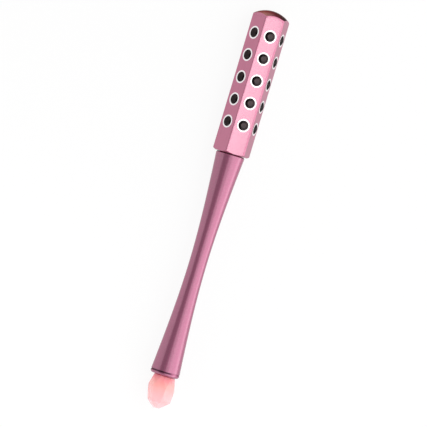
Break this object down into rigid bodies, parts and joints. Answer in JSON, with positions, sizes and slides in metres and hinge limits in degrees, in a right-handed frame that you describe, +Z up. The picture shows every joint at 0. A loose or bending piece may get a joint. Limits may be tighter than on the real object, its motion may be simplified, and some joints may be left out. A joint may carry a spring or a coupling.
{
  "type": "facial massage roller",
  "caption": "Hand-held facial massage roller: a hexagonal head set with rows of faceted stones spins on a waisted metallic handle that ends in a faceted quartz tip.",
  "frame": {"origin": "middle of the overall length, on the surface that the roller lies on, under its axis", "axes": "+X along the roller's axis from the quartz tip towards the head's dome; +Z up, square to the face of the head that the roller lies on"},
  "size_m": [0.2152, 0.0202, 0.019],
  "materials": {
    "handle_metal": "polished, anodised metallic pink",
    "head_metal": "polished, anodised metallic pink",
    "black_stone": "polished facets",
    "rose_quartz": "polished facets, translucent",
    "steel": "turned",
    "brass": "turned",
    "bush_plastic": "moulded"
  },
  "bodies": {
    "handle": {"handle_shell": "handle_metal", "end_collar": "handle_metal", "quartz_tip": "rose_quartz", "tip_stud": "steel", "axle_socket": "brass", "axle": "steel", "thrust_washer": "bush_plastic", "retaining_washer": "steel", "retaining_screw": "steel"},
    "head": {"head_barrel": "head_metal", "dome_cap": "head_metal", "lower_bush": "bush_plastic", "upper_bush": "bush_plastic", "face1_stone1": "black_stone", "face1_stone2": "black_stone", "face1_stone3": "black_stone", "face1_stone4": "black_stone", "face1_stone5": "black_stone", "face2_stone1": "black_stone", "face2_stone2": "black_stone", "face2_stone3": "black_stone", "face2_stone4": "black_stone", "face2_stone5": "black_stone", "face3_stone1": "black_stone", "face3_stone2": "black_stone", "face3_stone3": "black_stone", "face3_stone4": "black_stone", "face3_stone5": "black_stone", "face4_stone1": "black_stone", "face4_stone2": "black_stone", "face4_stone3": "black_stone", "face4_stone4": "black_stone", "face4_stone5": "black_stone", "face5_stone1": "black_stone", "face5_stone2": "black_stone", "face5_stone3": "black_stone", "face5_stone4": "black_stone", "face5_stone5": "black_stone", "face6_stone1": "black_stone", "face6_stone2": "black_stone", "face6_stone3": "black_stone", "face6_stone4": "black_stone", "face6_stone5": "black_stone"}
  },
  "joints": [
    {"name": "head_spin", "type": "hinge", "parent": "handle", "child": "head", "pos_m": [0.0689, 0, 0.0095], "axis": [1, 0, 0], "continuous": true}
  ]
}
